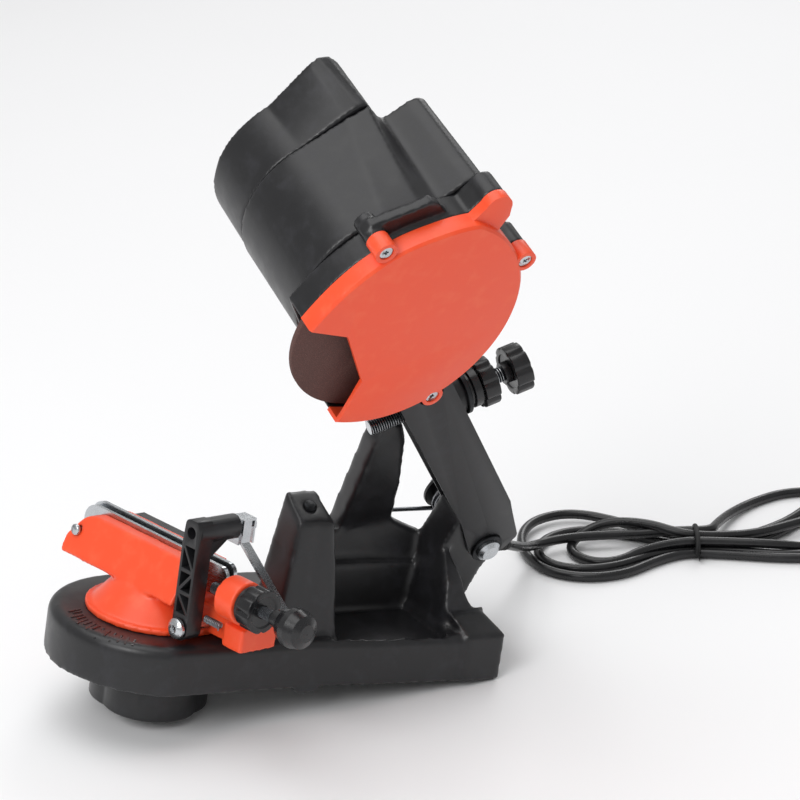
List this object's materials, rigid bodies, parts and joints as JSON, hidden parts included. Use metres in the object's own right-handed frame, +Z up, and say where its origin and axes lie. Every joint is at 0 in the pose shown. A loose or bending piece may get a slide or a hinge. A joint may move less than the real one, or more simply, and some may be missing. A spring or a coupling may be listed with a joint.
{
  "type": "electric saw-chain sharpener",
  "caption": "Bench saw-chain sharpener: a tilted motor head with a guarded grinding wheel on a sprung arm over a swivelling chain vise with an adjustable stop.",
  "frame": {"origin": "Centre of the footprint box at floor level, measured without the free mains lead, its hank, tie and plug.", "axes": "+Z up; +X runs along the base from the turntable to the arm pivot; the user stands on the -Y side."},
  "size_m": [0.5676, 0.23, 0.3358],
  "materials": {
    "black_plastic": "moulded, fine grain",
    "orange_plastic": "moulded, satin",
    "plated_steel": "zinc plated",
    "machined_steel": "turned",
    "guide_steel": "ground",
    "spring_steel": "oiled wire",
    "abrasive": "resin-bonded grit",
    "core_steel": "stacked laminations",
    "copper": "copper segments",
    "carbon": "pressed carbon",
    "pin_brass": "nickel plated",
    "rubber": "moulded",
    "lead_sheath": "extruded sheath"
  },
  "bodies": {
    "base": {"base_frame": "black_plastic", "arm_rest_pad": "rubber", "stop_tower_screw": "plated_steel", "pivot_bolt": "plated_steel", "pivot_washer": "plated_steel", "pivot_nut": "plated_steel", "pivot_sleeve": "machined_steel", "spring_bush": "black_plastic", "arm_spring": "spring_steel", "strain_relief": "black_plastic", "mains_lead": "lead_sheath", "lead_hank": "lead_sheath", "hank_tie": "lead_sheath", "mains_plug": "black_plastic", "plug_pins": "pin_brass"},
    "arm": {"arm": "black_plastic", "arm_screws": "plated_steel", "wheel_shroud": "black_plastic", "wheel_guard": "orange_plastic", "guard_screws": "plated_steel", "motor_housing": "black_plastic", "rear_cap": "black_plastic", "switch_body": "black_plastic", "stator": "core_steel", "brush_holders": "black_plastic", "carbon_brushes": "carbon", "front_bearing": "machined_steel", "rear_bearing": "machined_steel", "depth_screw_washer": "plated_steel", "depth_screw_collar": "black_plastic"},
    "spindle": {"motor_shaft": "machined_steel", "rotor_core": "core_steel", "commutator": "copper", "cooling_fan": "black_plastic", "inner_flange": "machined_steel", "outer_flange": "machined_steel", "grinding_wheel": "abrasive", "wheel_nut": "plated_steel"},
    "depth_screw": {"depth_screw": "plated_steel"},
    "depth_knob": {"depth_knob": "black_plastic"},
    "depth_lock_nut": {"depth_lock_nut": "black_plastic"},
    "switch_rocker": {"switch_rocker": "black_plastic"},
    "turntable": {"vise_body": "orange_plastic", "near_guide_plate": "guide_steel", "guide_plate_screw": "plated_steel", "clamp_stud": "plated_steel", "clamp_washer": "plated_steel", "chain_stop_bolt": "plated_steel", "stop_lock_washer": "black_plastic", "stop_spring": "spring_steel"},
    "clamp_knob": {"clamp_knob": "black_plastic"},
    "clamp_lever": {"clamp_lever": "black_plastic", "clamp_screw": "plated_steel"},
    "far_guide_plate": {"far_guide_plate": "guide_steel"},
    "chain_stop_arm": {"chain_stop_arm": "black_plastic", "pawl_pin": "plated_steel"},
    "chain_stop_pawl": {"chain_stop_pawl": "guide_steel"},
    "stop_screw": {"stop_screw": "plated_steel"},
    "stop_ball_knob": {"stop_ball_knob": "black_plastic"},
    "stop_lock_knob": {"stop_lock_knob": "black_plastic"}
  },
  "joints": [
    {"name": "arm_swing", "type": "hinge", "parent": "base", "child": "arm", "pos_m": [0.10982, 0.0247, 0.06154], "axis": [0.0035, -0.8954, -0.4453], "range_deg": [0, 21.5], "stiffness_Nm_per_rad": 7, "springref_deg": -34.38},
    {"name": "wheel_spin", "type": "hinge", "parent": "arm", "child": "spindle", "pos_m": [0.00861, -0.05393, 0.21886], "axis": [0.0035, -0.8954, -0.4453], "continuous": true},
    {"name": "depth_screw_travel", "type": "slide", "parent": "arm", "child": "depth_screw", "axis": [0.9645, -0.1146, 0.238], "range_m": [0, 0.01]},
    {"name": "depth_knob_turn", "type": "hinge", "parent": "depth_screw", "child": "depth_knob", "pos_m": [0.02022, -0.01797, 0.15225], "axis": [0.9645, -0.1146, 0.238], "range_deg": [0, 2880]},
    {"name": "depth_lock_nut_turn", "type": "hinge", "parent": "arm", "child": "depth_lock_nut", "pos_m": [0.02022, -0.01797, 0.15225], "axis": [0.9645, -0.1146, 0.238], "range_deg": [0, 180]},
    {"name": "switch_rocker_tilt", "type": "hinge", "parent": "arm", "child": "switch_rocker", "pos_m": [0.05285, -0.04472, 0.28602], "axis": [0.0035, -0.8954, -0.4453], "range_deg": [0, 16]},
    {"name": "turntable_swivel", "type": "hinge", "parent": "base", "child": "turntable", "pos_m": [-0.07305, 0.0388, 0.02842], "axis": [0.1681, 0, 0.9858], "range_deg": [-44, 14]},
    {"name": "clamp_knob_turn", "type": "hinge", "parent": "turntable", "child": "clamp_knob", "pos_m": [-0.07305, 0.0388, 0.02842], "axis": [0.1681, 0, 0.9858], "range_deg": [0, 360]},
    {"name": "clamp_lever_turn", "type": "hinge", "parent": "turntable", "child": "clamp_lever", "pos_m": [-0.06533, 0.04365, 0.08087], "axis": [0.9565, 0.2419, -0.1632], "range_deg": [0, 60]},
    {"name": "guide_plate_slide", "type": "slide", "parent": "turntable", "child": "far_guide_plate", "axis": [-0.9565, -0.2419, 0.1632], "range_m": [0, 0.0022]},
    {"name": "stop_knob_turn", "type": "hinge", "parent": "stop_screw", "child": "stop_ball_knob", "pos_m": [-0.07162, 0.03687, 0.08296], "axis": [0.2385, -0.9703, -0.0407], "range_deg": [-576, 720]},
    {"name": "stop_screw_travel", "type": "slide", "parent": "turntable", "child": "stop_screw", "axis": [0.2385, -0.9703, -0.0407], "range_m": [-0.0016, 0.002]},
    {"name": "chain_stop_tilt", "type": "hinge", "parent": "turntable", "child": "chain_stop_arm", "pos_m": [-0.0582, 0.00096, 0.05936], "axis": [0.9565, 0.2419, -0.1632], "range_deg": [-4.37, 5.46]},
    {"name": "stop_lock_knob_turn", "type": "hinge", "parent": "turntable", "child": "stop_lock_knob", "pos_m": [-0.07162, 0.03687, 0.08296], "axis": [0.2385, -0.9703, -0.0407], "range_deg": [0, 180]},
    {"name": "pawl_flip", "type": "hinge", "parent": "chain_stop_arm", "child": "chain_stop_pawl", "pos_m": [-0.04989, 0.00096, 0.10806], "axis": [0.9565, 0.2419, -0.1632], "range_deg": [-235, 0]}
  ],
  "couplings": [
    {"joint": "depth_screw_travel", "follows": "depth_knob_turn", "m_per_rad": 0.00019894},
    {"joint": "stop_screw_travel", "follows": "stop_knob_turn", "m_per_rad": 0.00015915},
    {"joint": "chain_stop_tilt", "follows": "stop_knob_turn", "ratio": 0.0075788},
    {"joint": "guide_plate_slide", "follows": "clamp_lever_turn", "m_per_rad": 0.0021008}
  ]
}
